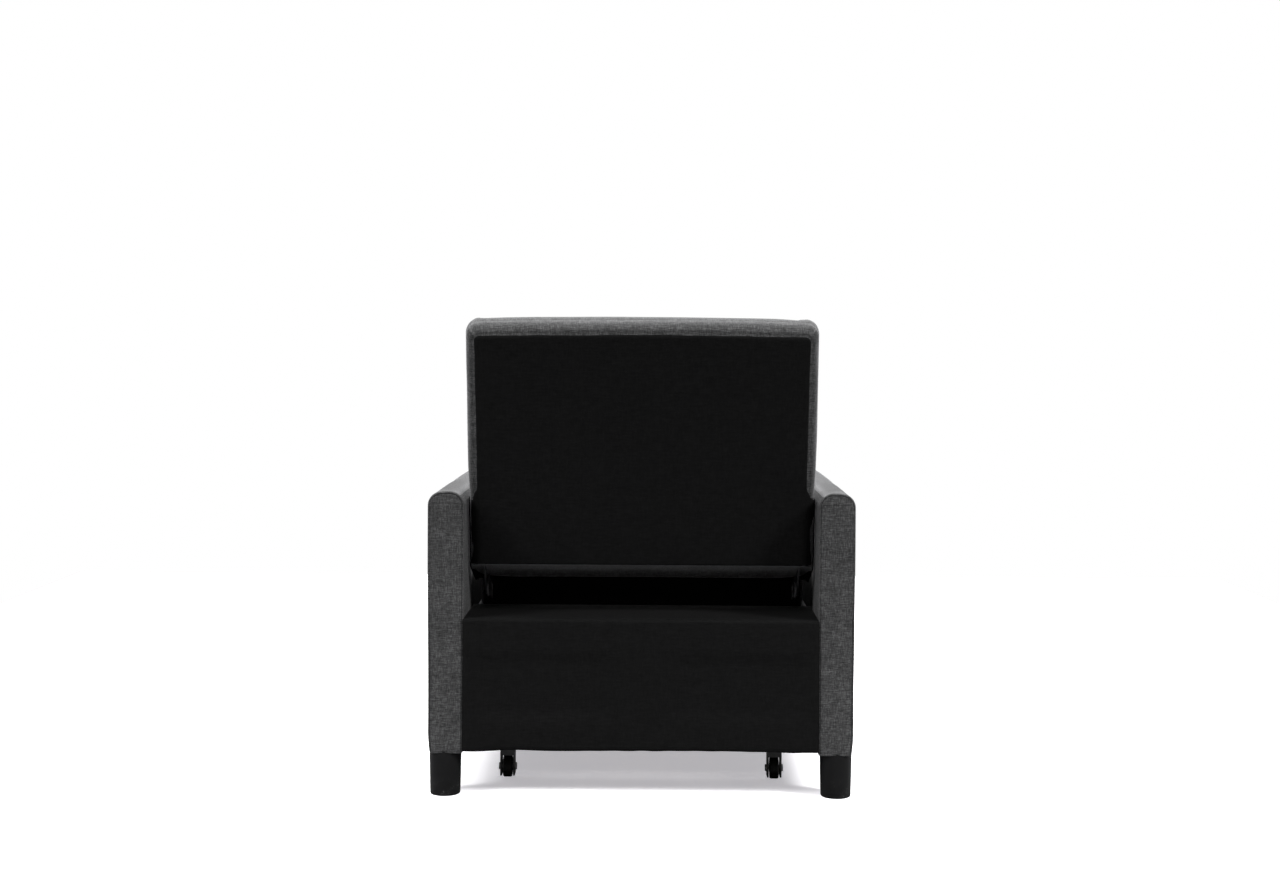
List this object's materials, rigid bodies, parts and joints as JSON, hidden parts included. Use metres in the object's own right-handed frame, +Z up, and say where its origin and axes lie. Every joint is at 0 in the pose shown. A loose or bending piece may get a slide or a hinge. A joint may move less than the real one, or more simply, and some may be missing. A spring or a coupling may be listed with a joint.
{
  "type": "convertible chair bed",
  "caption": "Upholstered armchair on castered seat frame: seat slides forward, back reclines flat on rear deck and two-part leg rest folds out, making a single bed.",
  "frame": {"origin": "on the floor, in the middle of the object's box at rest (chair pose)", "axes": "+Z up, +X towards the sitter's left arm, -Y towards the front of the seat, +Y towards the rear"},
  "size_m": [0.842, 0.8262, 0.9531],
  "materials": {
    "upholstery": "dark grey heathered linen-look weave",
    "black_cloth": "black non-woven upholstery lining",
    "seat_cloth": "dark grey heathered linen-look weave",
    "wood": "planed softwood",
    "plywood": "birch plywood",
    "black_plastic": "satin black moulded plastic",
    "nylon": "natural nylon",
    "wheel_plastic": "black nylon tread",
    "black_steel": "satin black powder coat",
    "zinc": "bright zinc plate",
    "spring_wire": "oiled spring wire"
  },
  "bodies": {
    "base": {"arm_upholstery_l": "upholstery", "arm_upholstery_r": "upholstery", "arm_frame_l": "wood", "arm_frame_r": "wood", "foot_rear_l": "black_plastic", "foot_rear_r": "black_plastic", "foot_front_l": "black_plastic", "foot_front_r": "black_plastic", "foot_bolts": "zinc", "guide_rail_l": "zinc", "deck_cleat_l": "wood", "guide_rail_r": "zinc", "deck_cleat_r": "wood", "rear_rail_top": "wood", "rear_rail_bottom": "wood", "rear_stud": "wood", "rear_deck_board": "plywood", "rear_cover": "black_cloth", "deck_cover": "black_cloth", "corner_brackets": "zinc"},
    "seat": {"seat_rail_l": "black_steel", "glide_block_l": "nylon", "ratchet_lower_l": "zinc", "legrest_bracket_l": "zinc", "caster_post_rear_l": "black_steel", "caster_post_front_l": "black_steel", "seat_rail_r": "black_steel", "glide_block_r": "nylon", "ratchet_lower_r": "zinc", "legrest_bracket_r": "zinc", "caster_post_rear_r": "black_steel", "caster_post_front_r": "black_steel", "seat_crossbar_rear": "black_steel", "seat_crossbar_mid": "black_steel", "seat_crossbar_front": "black_steel", "axle_bolts": "zinc", "seat_front_board": "wood", "seat_slats": "plywood", "seat_cushion": "seat_cloth", "hinge_pins": "zinc", "legrest_pins": "zinc"},
    "back": {"back_cushion": "upholstery", "back_rear_cover": "black_cloth", "back_frame": "black_steel", "back_springs": "spring_wire", "ratchet_upper_l": "zinc", "ratchet_upper_r": "zinc"},
    "legrest": {"legrest_board": "plywood", "legrest_pad": "seat_cloth", "legrest_plate_l": "zinc", "legrest_plate_r": "zinc", "flap_pins": "zinc"},
    "flap": {"flap_board": "plywood", "flap_pad": "seat_cloth", "flap_plate_l": "zinc", "flap_plate_r": "zinc"},
    "wheel_rear_l": {"caster_wheel_rear_l": "wheel_plastic"},
    "wheel_rear_r": {"caster_wheel_rear_r": "wheel_plastic"},
    "wheel_front_l": {"caster_wheel_front_l": "wheel_plastic"},
    "wheel_front_r": {"caster_wheel_front_r": "wheel_plastic"}
  },
  "joints": [
    {"name": "seat_slide", "type": "slide", "parent": "base", "child": "seat", "axis": [0, -1, 0], "range_m": [0, 0.45]},
    {"name": "back_recline", "type": "hinge", "parent": "seat", "child": "back", "pos_m": [0, 0.2323, 0.4], "axis": [-1, 0, 0], "range_deg": [0, 75.5]},
    {"name": "legrest_swing", "type": "hinge", "parent": "seat", "child": "legrest", "pos_m": [0, -0.3527, 0.401], "axis": [-1, 0, 0], "range_deg": [0, 90]},
    {"name": "flap_unfold", "type": "hinge", "parent": "legrest", "child": "flap", "pos_m": [0, -0.3522, 0.103], "axis": [-1, 0, 0], "range_deg": [0, 180]},
    {"name": "wheel_spin_rear_l", "type": "hinge", "parent": "seat", "child": "wheel_rear_l", "pos_m": [0.275, 0.2033, 0.0225], "axis": [1, 0, 0], "range_deg": [-30, 1200]},
    {"name": "wheel_spin_rear_r", "type": "hinge", "parent": "seat", "child": "wheel_rear_r", "pos_m": [-0.275, 0.2033, 0.0225], "axis": [1, 0, 0], "range_deg": [-30, 1200]},
    {"name": "wheel_spin_front_l", "type": "hinge", "parent": "seat", "child": "wheel_front_l", "pos_m": [0.275, -0.2177, 0.0225], "axis": [1, 0, 0], "range_deg": [-30, 1200]},
    {"name": "wheel_spin_front_r", "type": "hinge", "parent": "seat", "child": "wheel_front_r", "pos_m": [-0.275, -0.2177, 0.0225], "axis": [1, 0, 0], "range_deg": [-30, 1200]}
  ],
  "couplings": [
    {"joint": "flap_unfold", "follows": "legrest_swing", "ratio": 2},
    {"joint": "wheel_spin_rear_l", "follows": "seat_slide", "rad_per_m": 45.455},
    {"joint": "wheel_spin_rear_r", "follows": "seat_slide", "rad_per_m": 45.455},
    {"joint": "wheel_spin_front_l", "follows": "seat_slide", "rad_per_m": 45.455},
    {"joint": "wheel_spin_front_r", "follows": "seat_slide", "rad_per_m": 45.455}
  ]
}
